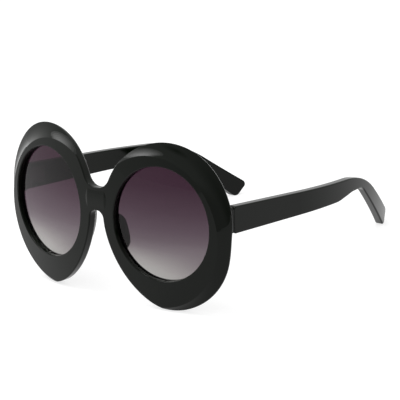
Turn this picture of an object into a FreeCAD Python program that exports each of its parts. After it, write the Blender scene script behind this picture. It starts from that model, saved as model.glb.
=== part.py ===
import FreeCAD
import Part
import math
import os
from FreeCAD import Vector

# Oversized round sunglasses: a curved front with two lenses and two folding temples.
# All lengths are millimetres and all angles degrees. The pieces are made in the front's upright
# frame: X across the face, Y backwards, Z up, from the front's foremost point at lens height.
# At the end the whole is leaned until it rests on its rims and its temple tips.

# Front
front_radius = 235.0        # sphere that the front face lies on
rim_thickness = 4.6
lens_radius = 25.0          # opening in the rim
rim_band = 10.0             # mean width of the rim round the opening
rim_band_shares = (0.80, 0.93, 1.03, 1.00, 0.90, 0.73, 0.63, 0.61, 0.88, 1.31, 1.24, 0.98)
nasal_share = rim_band_shares[6]    # the shares go round in equal steps from the temple side, upwards
nose_gap = 8.2              # narrowest gap between the two rims
bridge_height = 10.3
bridge_lift = 6.8           # middle of the bridge above the lens centres
valley_radius = 7.4         # hollow above the bridge
arch_share = 0.45           # arch under the bridge, of the nose gap
front_edge_round = 0.5
back_edge_round = 1.5
opening_edge_round = 0.6

# Crown, the slightly raised middle of the bridge
crown_height = 0.2
crown_width = 10.4
crown_ramp = 1.3            # slope at each side
crown_margin = 1.5          # inside the bridge's upper and lower edges

# Hollow brow facet, outside a circle set low and towards the nose
brow_band = 8.4             # from the opening to the crease
brow_shift_shares = (-0.42, -0.42)
brow_slope = 40.0           # at the crease
brow_end_slope = 8.0        # where the hollow runs out straight
brow_radius = 13.8          # hollow of the facet

# Lenses
lens_recess = 2.1           # lens face behind the rim's face
lens_thickness = 1.7
lens_bite = 0.9             # edge held in the groove
lens_clearance = 0.06

# Temples
temple_thickness = 4.0
temple_inset = 0.7          # outer face inside the rim's edge
temple_height = 11.9        # at the hinge
temple_lift = 4.6           # middle of the root above the lens centres
temple_taper = 3.8          # fall of the upper edge along the shaft
temple_shaft = 95.5         # from the butt end to the ear bend
temple_straight = 43.0      # part of the shaft that is straight in plan
temple_bow_radius = 184.0
temple_edge_round = 0.6
butt_gap = 0.3              # butt end behind the endpiece
butt_round = 1.6
bend_radius = 52.0          # upper edge over the ear
ear_radius = 9.0            # lower edge behind the ear
neck_height = 6.1           # temple at the ear bend, corner to corner
neck_lead = 1.4             # lower corner ahead of the upper one
neck_length = 10.4
neck_ramp = 12.0
neck_radius = 25.0
tip_angle = 36.5            # below the shaft
tip_length = 42.0
tip_width = 8.8
tip_round = 2.2

# Steel cores in the temples
core_width = 1.6
core_thickness = 1.2
core_end_gap = 6.0          # core's end ahead of the tip's end
core_front_gap = 0.6
core_radius = 16.0
core_clearance = 0.05

# Hinges
knuckle_radius = 1.5
knuckle_gap = 0.45          # knuckles clear of the endpiece and of the temple
outer_knuckle = 2.5
middle_knuckle = 3.0
washer_thickness = 0.3
washer_radius = 1.4
washer_clearance = 0.03     # end play at each face of a washer
pin_radius = 0.65
pin_clearance = 0.04
pin_head_radius = 1.35
pin_head_height = 0.8
pin_slot_width = 0.35
pin_slot_depth = 0.4
leaf_thickness = 0.9
leaf_clearance = 0.04
web_width = 2.2
front_leaf_width = 5.8
temple_leaf_length = 13.0
temple_leaf_height = 7.4
endpiece_margin = 0.3       # endpiece's flat seat behind the rim's back
endpiece_height = 11.4
endpiece_round = 1.2

# Leaf screws
screw_radius = 0.55
screw_head_radius = 1.0
screw_head_height = 0.45
screw_length = 2.0
screw_slot_width = 0.3
screw_slot_depth = 0.25
screw_margin = 0.35         # from the head to the leaf's edge
screw_clearance = 0.03
screw_height_share = 0.32   # from the hinge's middle, of its height
temple_screw_shares = (0.42, 0.80)

# Nose pads: three oval sections from the rim backwards
pad_angle = 196.0           # place round the opening
pad_offset = 2.4            # middle of the pad outside the opening
pad_length = 18.0
pad_width = 4.2
pad_depth = 4.0
pad_splay = 1.6             # outward lean of the pad's end
pad_length_shares = (1.0, 0.88, 0.62)
pad_width_shares = (1.0, 0.84, 0.50)
pad_depth_shares = (0.0, 0.55, 1.0)
pad_splay_shares = (0.0, 0.42, 1.0)
pad_clearance = 0.04

overrun = 3.0               # cuts and blanks past the faces that they cross
point_tolerance = 0.003     # points and edges taken to lie in one place
upright_angle = 1.0         # faces this close to upright are taken as walls
lean_steps = 8              # rounds of the search for the resting lean

# Places worked out from the sizes
lens_x = lens_radius + rim_band * nasal_share + nose_gap / 2
sphere_centre = Vector(0, front_radius, 0)
rim_side_x = lens_x + lens_radius + rim_band * rim_band_shares[0]
hinge_height = 2 * (outer_knuckle + washer_thickness + 2 * washer_clearance) + middle_knuckle
temple_x = rim_side_x - temple_inset
temple_inner_x = temple_x - temple_thickness
pivot_x = temple_inner_x - knuckle_gap - knuckle_radius
back_radius = front_radius - rim_thickness
seat_y = front_radius - math.sqrt(back_radius ** 2 - temple_x ** 2) + endpiece_margin
pivot_y = seat_y + knuckle_gap + knuckle_radius
butt_y = seat_y + butt_gap
bow_y = butt_y + temple_straight
leaf_front_y = pivot_y - web_width / 2
hinge_bottom = temple_lift - hinge_height / 2
up = Vector(0, 0, 1)
inward = Vector(0, -1, 0)       # into the front from behind
outward = Vector(1, 0, 0)       # into the left temple from inside
tip_way = Vector(0, math.cos(math.radians(tip_angle)), -math.sin(math.radians(tip_angle)))
tip_down = Vector(0, -math.sin(math.radians(tip_angle)), -math.cos(math.radians(tip_angle)))


def sphere_depth(radius, offset):
    """Depth of a sphere's face behind its foremost point, at an offset from its axis."""
    return radius - math.sqrt(radius ** 2 - offset ** 2)


def front_point(x, z):
    """Point of the front face straight behind a place in the XZ plane."""
    return Vector(x, sphere_depth(front_radius, math.hypot(x, z)), z)


def set_on_front(shape, x, z):
    """Turns a shape made along +Z to point into the front from its face."""
    point = front_point(x, z)
    shape.Placement = FreeCAD.Placement(point, FreeCAD.Rotation(up, sphere_centre - point))
    return shape


def turned(edges):
    """Solid of revolution about Z of a closed outline in the XZ plane."""
    face = Part.Face(Part.Wire(Part.__sortEdges__(edges)))
    return face.revolve(Vector(), up, 360)


def lines(points):
    """Straight edges from each point to the next."""
    return [Part.LineSegment(a, b).toShape() for a, b in zip(points, points[1:])]


def closed_face(points):
    """Flat face inside a closed row of points."""
    return Part.Face(Part.Wire(lines(points + points[:1])))


def arc(centre, radius, start, end, across, along):
    """Arc edge from one angle to another, in the plane of two unit directions."""
    angles = (math.radians(start), math.radians((start + end) / 2), math.radians(end))
    points = [centre + (across * math.cos(a) + along * math.sin(a)) * radius for a in angles]
    return Part.Arc(*points).toShape()


def rounded_outline(corners):
    """Closed wire through corners, each a point and the radius of the arc that rounds it."""
    edges = []
    ends = []
    for i, (point, radius) in enumerate(corners):
        before = (corners[i - 1][0] - point).normalize()
        after = (corners[(i + 1) % len(corners)][0] - point).normalize()
        half = before.getAngle(after) / 2
        reach = radius / math.tan(half)
        middle = (before + after).normalize() * (radius / math.sin(half) - radius)
        start = point + before * reach
        end = point + after * reach
        edges.append(Part.Arc(start, point + middle, end).toShape())
        ends.append((start, end))
    for i, (start, end) in enumerate(ends):
        edges.append(Part.LineSegment(end, ends[(i + 1) % len(ends)][0]).toShape())
    return Part.Wire(Part.__sortEdges__(edges))


def cylinder(radius, height, base, direction=up):
    return Part.makeCylinder(radius, height, base, direction)


def box(x0, x1, y0, y1, z0, z1):
    return Part.makeBox(x1 - x0, y1 - y0, z1 - z0, Vector(x0, y0, z0))


def mirrored(shape):
    """The same piece for the other side of the face."""
    return shape.mirror(Vector(), Vector(1, 0, 0))


def rim_face():
    """Outline of the left rim, a smooth closed curve round the lens centre."""
    points = []
    for i, share in enumerate(rim_band_shares):
        angle = 2 * math.pi * i / len(rim_band_shares)
        reach = lens_radius + rim_band * share
        points.append(Vector(lens_x + reach * math.cos(angle), 0, reach * math.sin(angle)))
    curve = Part.BSplineCurve()
    curve.interpolate(Points=points, PeriodicFlag=True)
    return Part.Face(Part.Wire(curve.toShape()))


def front_outline():
    """Upright blank with the outline of both rims and the bridge, hollows rounded."""
    rim = rim_face()
    top = bridge_lift + bridge_height / 2
    bottom = bridge_lift - bridge_height / 2
    reach = lens_x - lens_radius
    bridge = closed_face([Vector(-reach, 0, bottom), Vector(reach, 0, bottom),
                          Vector(reach, 0, top), Vector(-reach, 0, top)])
    depth = Vector(0, sphere_depth(front_radius, rim_side_x) + rim_thickness + 2 * overrun, 0)
    solid = rim.extrude(depth)
    blank = bridge.extrude(depth).fuse([solid, mirrored(solid)]).removeSplitter().Solids[0]
    blank.translate(Vector(0, -overrun, 0))
    for height, radius in ((top, valley_radius), (bottom, nose_gap * arch_share)):
        corners = [e for e in blank.Edges if is_bridge_corner(e, height)]
        blank = blank.makeFillet(radius, corners)
    return blank


def is_bridge_corner(edge, height):
    """A corner edge between the bridge and a rim, at a height of the bridge."""
    ends = [v.Point for v in edge.Vertexes]
    if len(ends) < 2 or abs(ends[0].x - ends[1].x) > point_tolerance:
        return False
    inside = abs(ends[0].x) < lens_x - lens_radius
    return inside and all(abs(p.z - height) < point_tolerance for p in ends)


def crown():
    """Low barrel across the bridge's face, with sloping sides, that fades out above and below."""
    half_height = bridge_height / 2 - crown_margin
    half_width = crown_width / 2 + crown_ramp
    rise = crown_height + sphere_depth(front_radius, half_height)
    radius = (half_height ** 2 + rise ** 2) / (2 * rise)
    foot = sphere_depth(front_radius, half_width)
    inside = rim_thickness / 2
    profile = closed_face([Vector(-half_width, 0, foot), Vector(-crown_width / 2, 0, -crown_height),
                           Vector(crown_width / 2, 0, -crown_height), Vector(half_width, 0, foot),
                           Vector(half_width, 0, inside), Vector(-half_width, 0, inside)])
    centre = Vector(0, 0, radius - crown_height)
    sweep = math.degrees(math.asin((bridge_height / 2 - front_edge_round) / radius))
    barrel = profile.rotated(centre, outward, -sweep).revolve(centre, outward, 2 * sweep)
    return set_on_front(barrel, 0, bridge_lift)


def brow_cut():
    """Blank outside the brow crease of the left rim, in front of the hollow facet."""
    crease = lens_radius + brow_band
    start = Vector(crease, 0, sphere_depth(front_radius, crease))
    face_slope = math.degrees(math.asin(crease / front_radius))
    slopes = [math.radians(face_slope + slope) for slope in (brow_slope, brow_end_slope)]
    centre = start + Vector(math.sin(slopes[0]), 0, -math.cos(slopes[0])) * brow_radius
    end = centre + Vector(-math.sin(slopes[1]), 0, math.cos(slopes[1])) * brow_radius
    far = end + Vector(math.cos(slopes[1]), 0, math.sin(slopes[1])) * (2 * rim_band)
    edges = [arc(centre, brow_radius, 90 + face_slope + brow_slope, 90 + face_slope + brow_end_slope,
                 Vector(1, 0, 0), up)]
    edges += lines([end, far, Vector(far.x, 0, -overrun), Vector(crease, 0, -overrun), start])
    blank = turned(edges)
    set_on_front(blank, lens_x + rim_band * brow_shift_shares[0], rim_band * brow_shift_shares[1])
    half = 2 * rim_side_x
    return blank.common(box(nose_gap / 2, half, -half, half, -half, half))


def lens_cut():
    """Opening, rounded lip and groove for a lens, along the lens axis."""
    face = sphere_depth(front_radius, lens_radius)
    lip = lens_radius + opening_edge_round
    groove = lens_radius + lens_bite + lens_clearance
    front_side = lens_recess + sphere_depth(front_radius - lens_recess, lens_radius) - lens_clearance
    lens_back = lens_recess + lens_thickness
    back_side = lens_back + sphere_depth(front_radius - lens_back, groove) + lens_clearance
    end = rim_thickness + sphere_depth(back_radius, lens_radius) + 2 * overrun
    corner = Vector(lip, 0, face + opening_edge_round)
    edges = lines([Vector(0, 0, -overrun), Vector(lip, 0, -overrun), Vector(lip, 0, face)])
    edges.append(arc(corner, opening_edge_round, 270, 180, Vector(1, 0, 0), up))
    edges += lines([Vector(lens_radius, 0, face + opening_edge_round), Vector(lens_radius, 0, front_side),
                    Vector(groove, 0, front_side), Vector(groove, 0, back_side),
                    Vector(lens_radius, 0, back_side), Vector(lens_radius, 0, end),
                    Vector(0, 0, end), Vector(0, 0, -overrun)])
    return set_on_front(turned(edges), lens_x, 0)


def lens():
    """Curved disc with both faces concentric with the front."""
    radius = lens_radius + lens_bite
    face_radius = front_radius - lens_recess
    depth = lens_recess + lens_thickness + sphere_depth(face_radius - lens_thickness, radius) + overrun
    disc = set_on_front(cylinder(radius, depth, Vector()), lens_x, 0)
    inside = Part.makeSphere(face_radius - lens_thickness, sphere_centre)
    return disc.common(Part.makeSphere(face_radius, sphere_centre).cut(inside)).Solids[0]


def endpiece():
    """Flat-backed boss behind the left rim that carries the hinge."""
    half = endpiece_height / 2
    inner_x = lens_x + lens_radius
    corners = [(Vector(x, 0, temple_lift + z), endpiece_round)
               for x, z in ((inner_x, -half), (temple_x, -half), (temple_x, half), (inner_x, half))]
    boss = Part.Face(rounded_outline(corners)).extrude(Vector(0, seat_y, 0))
    return boss.common(Part.makeSphere(front_radius - rim_thickness / 2, sphere_centre))


def is_outer_edge(shape, edge):
    """An edge between the upright wall of the outline and the front, the facet or the back."""
    faces = shape.ancestorsOfType(edge, Part.Face)
    if len(faces) < 2:
        return False
    point = edge.valueAt((edge.FirstParameter + edge.LastParameter) / 2)
    upright = 0
    for face in faces:
        u, v = face.Surface.parameter(point)
        if abs(face.normalAt(u, v).y) < math.sin(math.radians(upright_angle)):
            upright += 1
    return upright == 1


def front_frame():
    """Both rims, the bridge and the endpieces in one curved piece."""
    shell = Part.makeSphere(front_radius, sphere_centre).cut(Part.makeSphere(back_radius, sphere_centre))
    frame = front_outline().common(shell).Solids[0]
    middle = Part.makeSphere(front_radius - rim_thickness / 2, sphere_centre)
    for behind, radius in ((False, front_edge_round), (True, back_edge_round)):
        edges = [e for e in frame.Edges if is_outer_edge(frame, e) and
                 middle.isInside(e.CenterOfMass, point_tolerance, False) == behind]
        frame = frame.makeFillet(radius, edges)
    bosses = [endpiece(), mirrored(endpiece()), crown()]
    cuts = [brow_cut(), lens_cut(), front_leaf_plate(leaf_clearance)]
    cuts += [leaf_screw(place, inward, screw_clearance) for place in front_screw_places()]
    return frame.fuse(bosses).cut(cuts + [mirrored(cut) for cut in cuts]).Solids[0]


def knuckle(bottom, height):
    """Barrel of the hinge from a height upwards."""
    return cylinder(knuckle_radius, height, Vector(pivot_x, pivot_y, bottom))


def pivot_bore():
    """Bore for the hinge screw through the whole hinge."""
    return cylinder(pin_radius + pin_clearance, hinge_height, Vector(pivot_x, pivot_y, hinge_bottom))


def front_leaf_plate(clearance=0):
    """Plate let into the endpiece, flush with its seat, or the pocket for it."""
    x = pivot_x - knuckle_radius
    return box(x - clearance, x + front_leaf_width + clearance, seat_y - leaf_thickness, seat_y + clearance,
               hinge_bottom - clearance, hinge_bottom + hinge_height + clearance)


def front_leaf():
    """Hinge leaf of the front, with the two outer knuckles."""
    leaf = front_leaf_plate()
    for bottom in (hinge_bottom, hinge_bottom + hinge_height - outer_knuckle):
        web = box(pivot_x - web_width / 2, pivot_x + web_width / 2, seat_y - leaf_thickness, pivot_y,
                  bottom, bottom + outer_knuckle)
        leaf = leaf.fuse([knuckle(bottom, outer_knuckle), web])
    holes = [leaf_screw(place, inward, screw_clearance) for place in front_screw_places()]
    return leaf.cut([pivot_bore()] + holes).removeSplitter()


def temple_leaf_plate(clearance=0):
    """Plate let into the temple, flush with its inner face, or the pocket for it."""
    return box(temple_inner_x - clearance, temple_inner_x + leaf_thickness,
               leaf_front_y - clearance, leaf_front_y + temple_leaf_length + clearance,
               temple_lift - temple_leaf_height / 2 - clearance,
               temple_lift + temple_leaf_height / 2 + clearance)


def temple_leaf():
    """Hinge leaf of the temple, with the middle knuckle."""
    bottom = temple_lift - middle_knuckle / 2
    web = box(pivot_x, temple_inner_x + leaf_thickness, pivot_y - web_width / 2, pivot_y + web_width / 2,
              bottom, bottom + middle_knuckle)
    leaf = temple_leaf_plate().fuse([knuckle(bottom, middle_knuckle), web])
    holes = [leaf_screw(place, outward, screw_clearance) for place in temple_screw_places()]
    return leaf.cut([pivot_bore()] + holes).removeSplitter()


def washers():
    """Two friction washers, between the middle knuckle and the outer ones."""
    rings = []
    for face in (hinge_bottom + outer_knuckle, temple_lift + middle_knuckle / 2):
        foot = Vector(pivot_x, pivot_y, face + washer_clearance)
        rings.append(cylinder(washer_radius, washer_thickness, foot).cut(pivot_bore()))
    return Part.Compound(rings)


def hinge_screw():
    """Slotted screw down through all three knuckles."""
    top = hinge_bottom + hinge_height
    head = cylinder(pin_head_radius, pin_head_height, Vector(pivot_x, pivot_y, top))
    shank = cylinder(pin_radius, hinge_height, Vector(pivot_x, pivot_y, hinge_bottom))
    slot = box(pivot_x - pin_head_radius - overrun, pivot_x + pin_head_radius + overrun,
               pivot_y - pin_slot_width / 2, pivot_y + pin_slot_width / 2,
               top + pin_head_height - pin_slot_depth, top + pin_head_height + overrun)
    return head.fuse(shank).cut(slot).removeSplitter()


def leaf_screw(place, direction, clearance=0):
    """Countersunk screw with its head flush at a place, or the hole for it."""
    top = Vector(screw_head_radius + clearance, 0, 0)
    points = [Vector(), top, Vector(screw_radius + clearance, 0, screw_head_height),
              Vector(screw_radius + clearance, 0, screw_length + clearance),
              Vector(0, 0, screw_length + clearance)]
    body = turned(lines(points + points[:1]))
    body.Placement = FreeCAD.Placement(place, FreeCAD.Rotation(up, direction))
    return body


def slotted(screw, place, direction):
    """Cuts the driver slot in a leaf screw's head, square to the hinge's axis."""
    across = direction.cross(up)
    reach = screw_head_radius + overrun
    corner = place - across * reach - up * (screw_slot_width / 2) - direction * overrun
    far = corner + across * (2 * reach)
    slot = closed_face([corner, far, far + up * screw_slot_width, corner + up * screw_slot_width])
    return screw.cut(slot.extrude(direction * (overrun + screw_slot_depth)))


def leaf_screws(places, direction):
    """The screws of one leaf, as separate pieces."""
    return Part.Compound([slotted(leaf_screw(p, direction), p, direction) for p in places])


def front_screw_places():
    """Head centres of the screws in the front leaf."""
    x = pivot_x - knuckle_radius + front_leaf_width - screw_head_radius - screw_margin
    lift = hinge_height * screw_height_share
    return [Vector(x, seat_y, temple_lift + side * lift) for side in (-1, 1)]


def temple_screw_places():
    """Head centres of the screws in the temple leaf."""
    lift = temple_leaf_height * screw_height_share
    return [Vector(temple_inner_x, leaf_front_y + temple_leaf_length * share, temple_lift + side * lift)
            for share, side in zip(temple_screw_shares, (-1, 1))]


def temple_corners():
    """Corners of the temple's side view, each with its rounding."""
    low = temple_lift - temple_height / 2
    high = temple_lift + temple_height / 2
    bend = Vector(0, butt_y + temple_shaft, high - temple_taper)
    neck = bend - Vector(0, neck_lead, neck_height)
    tip = bend + tip_way * tip_length
    end = tip + tip_down * tip_width
    ramp = neck - Vector(0, neck_length, 0)
    return [(Vector(0, butt_y, low), butt_round), (Vector(0, butt_y, high), butt_round),
            (bend, bend_radius), (tip, tip_round), (end, tip_round), (neck, ear_radius),
            (ramp, neck_radius), (Vector(0, ramp.y - neck_ramp, low), neck_radius)]


def temple_plan(outer_inset, inner_inset):
    """Upright blank of the temple in plan, between two insets from its outer face."""
    tip_y = max(point.y for point, radius in temple_corners()) + overrun
    centre = Vector(temple_x - temple_bow_radius, bow_y, 0)
    edges = []
    ends = []
    for inset in (outer_inset, inner_inset):
        radius = temple_bow_radius - inset
        sweep = math.degrees(math.asin((tip_y - bow_y) / radius))
        start = Vector(temple_x - inset, butt_y - overrun, 0)
        edges += lines([start, Vector(temple_x - inset, bow_y, 0)])
        edges.append(arc(centre, radius, 0, sweep, Vector(1, 0, 0), Vector(0, 1, 0)))
        ends.append((start, edges[-1].Vertexes[-1].Point))
    edges += lines([ends[0][0], ends[1][0]]) + lines([ends[0][1], ends[1][1]])
    face = Part.Face(Part.Wire(Part.__sortEdges__(edges)))
    height = 2 * (temple_height + tip_length)
    face.translate(Vector(0, 0, -height / 2))
    return face.extrude(Vector(0, 0, height))


def side_blank(wire):
    """Blank with a temple's side view, right across its thickness."""
    face = Part.Face(wire)
    face.translate(Vector(-overrun, 0, 0))
    return face.extrude(Vector(temple_x + 2 * overrun, 0, 0))


def core_strip(clearance=0):
    """Core along the temple's middle, round the ear bend, or the channel for it, open at the butt end."""
    corners = [point for point, radius in temple_corners()]
    low, high, bend, tip, end, neck = corners[:6]
    turn = (bend + neck) / 2
    last = (tip + end) / 2 - tip_way * (core_end_gap - clearance)
    first = Vector(0, butt_y + core_front_gap, temple_lift)
    if clearance:
        first = first - (turn - first).normalize() * (core_front_gap + overrun)
    half = core_width / 2 + clearance
    edges = []
    ends = []
    before = (turn - first).normalize()
    after = (last - turn).normalize()
    bend_half = before.getAngle(after) / 2
    reach = core_radius * math.tan(bend_half)
    for side in (-half, half):
        sides = [Vector(0, -way.z, way.y) * side for way in (before, after)]
        radius = core_radius + side
        middle = (after - before).normalize()
        arc_start = turn - before * reach + sides[0]
        arc_end = turn + after * reach + sides[1]
        centre = turn + middle * (core_radius / math.cos(bend_half))
        edges += lines([first + sides[0], arc_start]) + lines([arc_end, last + sides[1]])
        edges.append(Part.Arc(arc_start, centre - middle * radius, arc_end).toShape())
        ends.append((first + sides[0], last + sides[1]))
    edges += lines([ends[0][0], ends[1][0]]) + lines([ends[0][1], ends[1][1]])
    inset = (temple_thickness - core_thickness) / 2
    plan = temple_plan(inset - clearance, inset + core_thickness + clearance)
    return side_blank(Part.Wire(Part.__sortEdges__(edges))).common(plan).Solids[0]


def temple():
    """Bowed side arm with its ear bend, pocketed for the leaf and bored for the core."""
    body = side_blank(rounded_outline(temple_corners())).common(temple_plan(0, temple_thickness)).Solids[0]
    body = body.makeFillet(temple_edge_round, [e for e in body.Edges if is_long_edge(body, e)])
    cuts = [temple_leaf_plate(leaf_clearance), core_strip(core_clearance)]
    cuts += [leaf_screw(place, outward, screw_clearance) for place in temple_screw_places()]
    return body.cut(cuts).Solids[0]


def is_long_edge(shape, edge):
    """An edge between the temple's inner or outer face and its upper, lower or end faces."""
    point = edge.valueAt((edge.FirstParameter + edge.LastParameter) / 2)
    level = 0
    for face in shape.ancestorsOfType(edge, Part.Face):
        u, v = face.Surface.parameter(point)
        if abs(face.normalAt(u, v).x) < math.sin(math.radians(upright_angle)):
            level += 1
    return level == 1


def nose_pad():
    """Oval pad that leans away from the nose, its base on the rim's back."""
    angle = math.radians(pad_angle)
    radial = Vector(math.cos(angle), 0, math.sin(angle))
    along = Vector(-math.sin(angle), 0, math.cos(angle))
    base = Vector(lens_x, 0, 0) + radial * (lens_radius + pad_offset)
    base.y = front_radius - math.sqrt(back_radius ** 2 - base.x ** 2 - base.z ** 2)
    sections = [(-overrun, 0, pad_length_shares[0], pad_width_shares[0])]
    sections += [(pad_depth * d, pad_splay * s, l, w) for d, s, l, w in
                 zip(pad_depth_shares, pad_splay_shares, pad_length_shares, pad_width_shares)]
    wires = []
    for depth, splay, length_share, width_share in sections:
        centre = base + Vector(0, depth, 0) - radial * splay
        oval = Part.Ellipse(centre + along * (pad_length * length_share / 2),
                            centre + radial * (pad_width * width_share / 2), centre)
        wires.append(Part.Wire(oval.toShape()))
    pad = Part.makeLoft(wires, True)
    return pad.common(Part.makeSphere(back_radius - pad_clearance, sphere_centre)).Solids[0]


def lowest(shape, lean):
    """Height of a shape's lowest point after a backward lean."""
    leaned = shape.rotated(Vector(), Vector(1, 0, 0), -lean)
    return leaned.optimalBoundingBox(False, False).ZMin


def rest_lean(front, arm):
    """Backward lean, in degrees, at which the rims and the temple tips stand on one level."""
    lean = 0
    span = arm.BoundBox.YMax - front.BoundBox.YMin
    for step in range(lean_steps):
        lean += math.degrees(math.atan((lowest(arm, lean) - lowest(front, lean)) / span))
    return lean


one_sided = {
    "lens": lens(),
    "nose_pad": nose_pad(),
    "front_hinge_leaf": front_leaf(),
    "front_leaf_screws": leaf_screws(front_screw_places(), inward),
    "hinge_screw": hinge_screw(),
    "hinge_washers": washers(),
    "temple_hinge_leaf": temple_leaf(),
    "temple_leaf_screws": leaf_screws(temple_screw_places(), outward),
    "temple": temple(),
    "temple_core": core_strip(),
}
nodes = {"front_frame": front_frame()}
for name, shape in one_sided.items():
    nodes[name + "_left"] = shape
    nodes[name + "_right"] = mirrored(shape)

# Lean the whole to rest, with the origin under the middle of its outline
lean = rest_lean(nodes["front_frame"], nodes["temple_left"])
rest = FreeCAD.Placement(Vector(), FreeCAD.Rotation(Vector(1, 0, 0), -lean))
nodes = {name: shape.rotated(Vector(), Vector(1, 0, 0), -lean) for name, shape in nodes.items()}
bounds = Part.Compound(list(nodes.values())).optimalBoundingBox(False, False)
shift = Vector(0, -(bounds.YMin + bounds.YMax) / 2, -bounds.ZMin)

os.makedirs("parts", exist_ok=True)
for name, shape in nodes.items():
    shape.translated(shift).exportStep("parts/" + name + ".step")

pivot = rest.multVec(Vector(pivot_x, pivot_y, temple_lift)) + shift
size = (bounds.XLength, bounds.YLength, bounds.ZLength)
print("lean", round(lean, 4), "size", [round(c, 3) for c in size])
print("left hinge", [round(c, 4) for c in pivot], "axis", [round(c, 6) for c in rest.multVec(up)])
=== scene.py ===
import math
import bpy
from mathutils import Matrix, Quaternion, Vector

# Oversized round sunglasses with a glossy black front, gradient lenses and folding temples.
# Lengths are metres and angles degrees unless a name says otherwise. Colours are linear.

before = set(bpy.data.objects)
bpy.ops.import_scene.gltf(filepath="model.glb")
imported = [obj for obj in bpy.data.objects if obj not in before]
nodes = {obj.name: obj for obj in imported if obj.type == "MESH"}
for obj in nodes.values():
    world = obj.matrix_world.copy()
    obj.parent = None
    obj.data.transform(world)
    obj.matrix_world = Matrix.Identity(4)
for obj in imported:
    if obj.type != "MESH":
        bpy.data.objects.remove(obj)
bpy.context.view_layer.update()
scene = bpy.context.scene

# Camera, worked out from the outlines of the lenses, rims and temples in the photograph
image_px = 400
focal_px = 2015.9
sensor_mm = 36.0
camera_azimuth = 44.89
camera_elevation = 17.84
camera_roll = 5.75
camera_distance = 0.9250
camera_target = Vector((0.00079, -0.00593, 0.02624))

# Plastic of the front, the temples and the pads
plastic_ior = 1.49
plastic_specular = 0.16                 # under the usual 0.5, so that it stays dark over a white floor
plastic_edge_radius = 0.00015           # edges that only the shading rounds
plastic_edge_samples = 6

# Lens tint, from the lens's bottom to its top: place as a share, and what passes of red, green and blue
tint_stops = (
    (0.00, (0.385, 0.378, 0.366)),
    (0.10, (0.322, 0.306, 0.300)),
    (0.20, (0.232, 0.209, 0.214)),
    (0.28, (0.158, 0.131, 0.145)),
    (0.36, (0.110, 0.083, 0.099)),
    (0.45, (0.083, 0.056, 0.073)),
    (0.60, (0.056, 0.031, 0.046)),
    (0.80, (0.034, 0.0130, 0.025)),
    (1.00, (0.030, 0.0098, 0.021)),
)
tint_painted_shade_lean = 0.36                        # painted shade: near the bottom the fade rises across the lens, darker towards +X and paler towards -X, for the shaded floor seen through it; as a share of its height
tint_painted_shade_heights = (0.05, 0.35)        # where this painted shade is full, and where it has gone
lens_ior = 1.25                         # low, because the coated faces mirror little

# Walls of the studio, the same for every ray: pale, dimmer on the right, with two dark places
wall_level = 0.95
wall_back_level = 0.95
wall_back_span = (0.20, 0.80)           # backward part of a unit vector over which the back comes in
wall_side_level = 0.62
wall_side_span = (0.35, 0.70)           # part to the right over which the side comes in
wall_darks = (                          # azimuth, elevation, reach, and level in the middle
    (12, 4, 43, 0.25),
    (-18, 33, 12, 0.25),
)

# Ovals of a lamp, from the outer one inwards, as shares of its size, and the step between them
softbox_shares = (1.0, 0.85, 0.70, 0.55, 0.40, 0.25)
softbox_step = 0.004

# Ends of the part of a noise's range where most of its values lie
noise_low, noise_high = 0.3, 0.7

# Sockets of a Mix node that mixes colours, where names repeat
mix_factor, mix_first, mix_second, mix_result = 0, 6, 7, 2

white = (1, 1, 1, 1)


def direction(azimuth, elevation):
    """Unit vector from the object, with azimuth 0 in front of it."""
    a = math.radians(azimuth)
    e = math.radians(elevation)
    return Vector((math.sin(a) * math.cos(e), -math.cos(a) * math.cos(e), math.sin(e)))


def new_material(name):
    """An empty node material with its output node."""
    material = bpy.data.materials.new(name)
    material.use_nodes = True
    tree = material.node_tree
    tree.nodes.clear()
    output = tree.nodes.new("ShaderNodeOutputMaterial")
    return material, tree, output


def add_node(tree, kind, links=(), **values):
    """A node with its values set by input name or attribute, and its inputs linked to sockets."""
    node = tree.nodes.new(kind)
    for key, value in values.items():
        label = key.replace("_", " ")
        named = [socket for socket in node.inputs if socket.name.lower() == label]
        if named:
            named[0].default_value = value
        else:
            setattr(node, key, value)
    for label, socket in links:
        tree.links.new(socket, node.inputs[label])
    return node


def noise(tree, coordinates, scale, detail=4.0, stretch=None):
    """Noise with features of about 1 / scale metres in object coordinates, stretched if asked."""
    vector = coordinates
    if stretch:
        vector = add_node(tree, "ShaderNodeMapping", [("Vector", vector)], scale=stretch).outputs[0]
    return add_node(tree, "ShaderNodeTexNoise", [("Vector", vector)], scale=scale, detail=detail).outputs[0]


def mapped(tree, value, from_min, from_max, to_min, to_max, smooth=False):
    """Carries a value from one range to another, and stops at its ends."""
    return add_node(tree, "ShaderNodeMapRange", [("Value", value)],
                    interpolation_type="SMOOTHSTEP" if smooth else "LINEAR",
                    from_min=from_min, from_max=from_max, to_min=to_min, to_max=to_max).outputs[0]


def spread(tree, value, low, high):
    """Spreads the middle of a noise over a range of values."""
    return mapped(tree, value, noise_low, noise_high, low, high)


def calculate(tree, operation, first, second):
    """A sum, product or choice of two sockets or numbers."""
    node = add_node(tree, "ShaderNodeMath", operation=operation)
    for place, value in enumerate((first, second)):
        if isinstance(value, (int, float)):
            node.inputs[place].default_value = value
        else:
            tree.links.new(value, node.inputs[place])
    return node.outputs[0]


def along(tree, vector, way):
    """How far a vector goes along a fixed way."""
    node = add_node(tree, "ShaderNodeVectorMath", operation="DOT_PRODUCT")
    tree.links.new(vector, node.inputs[0])
    node.inputs[1].default_value = way
    return node.outputs["Value"]


def two_tone(tree, value, first, second):
    """Colour between two by a noise value."""
    node = add_node(tree, "ShaderNodeMix", data_type="RGBA")
    tree.links.new(spread(tree, value, 0, 1), node.inputs[mix_factor])
    node.inputs[mix_first].default_value = (*first, 1)
    node.inputs[mix_second].default_value = (*second, 1)
    return node.outputs[mix_result]


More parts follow.
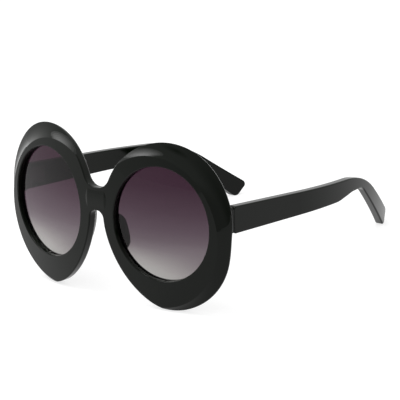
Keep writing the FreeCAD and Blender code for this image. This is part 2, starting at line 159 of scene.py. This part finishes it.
def bump(tree, height, distance, strength, normal=None):
    """Normal from a height, over another normal where there is one."""
    node = add_node(tree, "ShaderNodeBump", [("Height", height)], distance=distance, strength=strength)
    if normal is not None:
        tree.links.new(normal, node.inputs["Normal"])
    return node.outputs[0]


def object_coordinates(tree):
    """Places on the object, in metres."""
    return add_node(tree, "ShaderNodeTexCoord").outputs["Object"]


def gloss_black(name, first, second, rough):
    """Polished moulded plastic: faint tone changes, polish marks and a slight ripple."""
    material, tree, output = new_material(name)
    place = object_coordinates(tree)
    tone = two_tone(tree, noise(tree, place, scale=45.0), first, second)
    polish = spread(tree, noise(tree, place, scale=260.0, detail=6.0), *rough)
    ripple = noise(tree, place, scale=120.0, detail=2.0)
    edge = add_node(tree, "ShaderNodeBevel", samples=plastic_edge_samples, radius=plastic_edge_radius)
    normal = bump(tree, ripple, distance=0.00003, strength=0.25, normal=edge.outputs[0])
    shader = add_node(tree, "ShaderNodeBsdfPrincipled",
                      [("Base Color", tone), ("Roughness", polish), ("Normal", normal)],
                      ior=plastic_ior, specular_ior_level=plastic_specular)
    tree.links.new(shader.outputs[0], output.inputs["Surface"])
    return material


def brushed_metal(name, first, second, stretch):
    """Steel with fine drawn lines along one way."""
    material, tree, output = new_material(name)
    place = object_coordinates(tree)
    grain = noise(tree, place, scale=900.0, detail=6.0, stretch=stretch)
    tone = two_tone(tree, grain, first, second)
    rough = spread(tree, noise(tree, place, scale=500.0, stretch=stretch), low=0.22, high=0.42)
    normal = bump(tree, grain, distance=0.00002, strength=0.4)
    shader = add_node(tree, "ShaderNodeBsdfPrincipled",
                      [("Base Color", tone), ("Roughness", rough), ("Normal", normal)], metallic=1.0)
    tree.links.new(shader.outputs[0], output.inputs["Surface"])
    return material


def satin_plastic(name, first, second):
    """Off-white washer plastic with a soft mottle."""
    material, tree, output = new_material(name)
    mottle = noise(tree, object_coordinates(tree), scale=1500.0)
    tone = two_tone(tree, mottle, first, second)
    rough = spread(tree, mottle, low=0.35, high=0.55)
    shader = add_node(tree, "ShaderNodeBsdfPrincipled", [("Base Color", tone), ("Roughness", rough)])
    tree.links.new(shader.outputs[0], output.inputs["Surface"])
    return material


def tinted_lens(name):
    """Clear lens whose tint fades from dark at the top to pale at the bottom. Near the bottom the fade
    leans as painted shade: darker towards +X and paler towards -X, for the shaded floor seen through the
    lens.
    """
    material, tree, output = new_material(name)
    place = add_node(tree, "ShaderNodeTexCoord").outputs["Generated"]
    across, _, height = add_node(tree, "ShaderNodeSeparateXYZ", [("Vector", place)]).outputs
    # painted shade: near the bottom the tint darkens towards +X and pales towards -X, for the shaded floor
    # seen through the lens
    painted_shade_lean = mapped(tree, across, 0, 1, -tint_painted_shade_lean / 2, tint_painted_shade_lean / 2)
    painted_shade_share = mapped(tree, height, *tint_painted_shade_heights, 1, 0, smooth=True)
    painted_shade_lean = calculate(tree, "MULTIPLY", painted_shade_lean, painted_shade_share)
    ramp = add_node(tree, "ShaderNodeValToRGB", [("Fac", calculate(tree, "ADD", height, painted_shade_lean))])
    stops = ramp.color_ramp.elements
    while len(stops) < len(tint_stops):
        stops.new(1.0)
    for stop, (at, passes) in zip(stops, tint_stops):
        stop.position = at
        stop.color = (*passes, 1)
    smudges = noise(tree, object_coordinates(tree), scale=90.0, detail=3.0)
    rough = spread(tree, smudges, low=0.0, high=0.03)
    shader = add_node(tree, "ShaderNodeBsdfPrincipled",
                      [("Base Color", ramp.outputs[0]), ("Roughness", rough)],
                      transmission_weight=1.0, ior=lens_ior)
    tree.links.new(shader.outputs[0], output.inputs["Surface"])
    return material


def dress(kind, material):
    """Gives a material to a piece, or to both of a pair."""
    for name in (kind, kind + "_left", kind + "_right"):
        if name in nodes:
            nodes[name].data.materials.clear()
            nodes[name].data.materials.append(material)


def white_floor(size, paint, glow):
    """Plain floor that shows white, also in gloss and through the lenses, and keeps the soft shadows."""
    bpy.ops.mesh.primitive_plane_add(size=size)
    floor = bpy.context.object
    floor.name = "floor"
    material, tree, output = new_material("floor_white")
    flat = add_node(tree, "ShaderNodeBsdfDiffuse", color=(paint, paint, paint, 1))
    path = add_node(tree, "ShaderNodeLightPath")
    seen = calculate(tree, "MAXIMUM", path.outputs["Is Camera Ray"], path.outputs["Is Transmission Ray"])
    seen = calculate(tree, "MAXIMUM", seen, path.outputs["Is Glossy Ray"])
    strength = calculate(tree, "MULTIPLY", seen, glow)
    shine = add_node(tree, "ShaderNodeEmission", [("Strength", strength)], color=white)
    both = add_node(tree, "ShaderNodeAddShader")
    tree.links.new(flat.outputs[0], both.inputs[0])
    tree.links.new(shine.outputs[0], both.inputs[1])
    tree.links.new(both.outputs[0], output.inputs["Surface"])
    floor.data.materials.append(material)


def studio_world():
    """Studio walls with dark places in front, a dimmer right side and a plain back."""
    world = bpy.data.worlds.new("studio")
    scene.world = world
    world.use_nodes = True
    tree = world.node_tree
    tree.nodes.clear()
    output = tree.nodes.new("ShaderNodeOutputWorld")
    way = add_node(tree, "ShaderNodeTexCoord").outputs["Generated"]
    walls = wall_level
    for azimuth, elevation, reach, level in wall_darks:
        angle = add_node(tree, "ShaderNodeMath", operation="ARCCOSINE")
        tree.links.new(along(tree, way, direction(azimuth, elevation)), angle.inputs[0])
        dark = mapped(tree, angle.outputs[0], 0, math.radians(reach), level, wall_level)
        walls = calculate(tree, "MINIMUM", walls, dark)
    side = mapped(tree, along(tree, way, (1, 0, 0)), *wall_side_span, 0, 1, smooth=True)
    walls = calculate(tree, "MULTIPLY", walls, calculate(tree, "SUBTRACT", 1.0, side))
    walls = calculate(tree, "ADD", walls, calculate(tree, "MULTIPLY", side, wall_side_level))
    back = mapped(tree, along(tree, way, (0, 1, 0)), *wall_back_span, 0, wall_back_level, smooth=True)
    walls = calculate(tree, "MAXIMUM", walls, back)
    background = add_node(tree, "ShaderNodeBackground", [("Strength", walls)], color=white)
    tree.links.new(background.outputs[0], output.inputs["Surface"])


def softbox(name, azimuth, elevation, roll, distance, width, height, radiance, rise):
    """Oval lamp facing the object: ovals one in another, the inner ones raised by a share of the room."""
    back = direction(azimuth, elevation)
    turn = back.to_track_quat("Z", "Y") @ Quaternion((0, 0, 1), math.radians(roll))
    for number, share in enumerate(softbox_shares):
        lamp = bpy.data.lights.new(f"{name}_{number}", "AREA")
        lamp.shape = "ELLIPSE"
        lamp.size = width * share
        lamp.size_y = height * share
        area = math.pi / 4 * lamp.size * lamp.size_y
        lamp.energy = radiance / len(softbox_shares) * math.pi * area
        lamp_object = bpy.data.objects.new(lamp.name, lamp)
        scene.collection.objects.link(lamp_object)
        lift = turn @ Vector((0, rise * (1 - share) * height / 2, 0))
        lamp_object.location = camera_target + back * (distance + number * softbox_step) + lift
        lamp_object.rotation_euler = turn.to_euler()


def photo_camera():
    """Camera at the photograph's place, with its roll about the line of sight."""
    data = bpy.data.cameras.new("camera")
    data.sensor_width = sensor_mm
    data.lens = sensor_mm * focal_px / image_px
    camera = bpy.data.objects.new("camera", data)
    scene.collection.objects.link(camera)
    back = direction(camera_azimuth, camera_elevation)
    azimuth = math.radians(camera_azimuth)
    right = Vector((math.cos(azimuth), math.sin(azimuth), 0))
    up = back.cross(right)
    roll = math.radians(camera_roll)
    across = right * math.cos(roll) - up * math.sin(roll)
    upward = right * math.sin(roll) + up * math.cos(roll)
    turn = Matrix((across, upward, back)).transposed().to_4x4()
    camera.matrix_world = Matrix.Translation(camera_target + back * camera_distance) @ turn
    scene.camera = camera


# Each material varies between two colours. Steel is drawn along Y, where its noise is scaled least.
black = gloss_black("gloss_black", (0.0018, 0.0034, 0.0015), (0.0028, 0.0046, 0.0025), rough=(0.03, 0.06))
pad_black = gloss_black("pad_black", (0.055, 0.056, 0.046), (0.070, 0.071, 0.059), rough=(0.18, 0.28))
steel = brushed_metal("hinge_steel", (0.07, 0.07, 0.07), (0.13, 0.13, 0.13), stretch=(1.0, 0.15, 1.0))
core = brushed_metal("core_steel", (0.42, 0.41, 0.40), (0.58, 0.57, 0.55), stretch=(1.0, 0.05, 1.0))
washer = satin_plastic("washer_nylon", (0.70, 0.69, 0.64), (0.80, 0.79, 0.75))
lens = tinted_lens("lens_tint")

finishes = (
    (black, ("front_frame", "temple")),
    (pad_black, ("nose_pad",)),
    (lens, ("lens",)),
    (steel, ("front_hinge_leaf", "temple_hinge_leaf", "hinge_screw",
             "front_leaf_screws", "temple_leaf_screws")),
    (core, ("temple_core",)),
    (washer, ("hinge_washers",)),
)
for material, kinds in finishes:
    for kind in kinds:
        dress(kind, material)

photo_camera()
white_floor(size=12.0, paint=0.36, glow=0.74)
studio_world()
softbox("key_softbox", azimuth=-57, elevation=45, roll=40, distance=0.44,
        width=0.36, height=0.157, radiance=7.0, rise=0.85)
softbox("top_softbox", azimuth=-20, elevation=84, roll=0, distance=1.0,
        width=0.40, height=0.40, radiance=12.0, rise=0.0)
scene.view_settings.view_transform = "Standard"
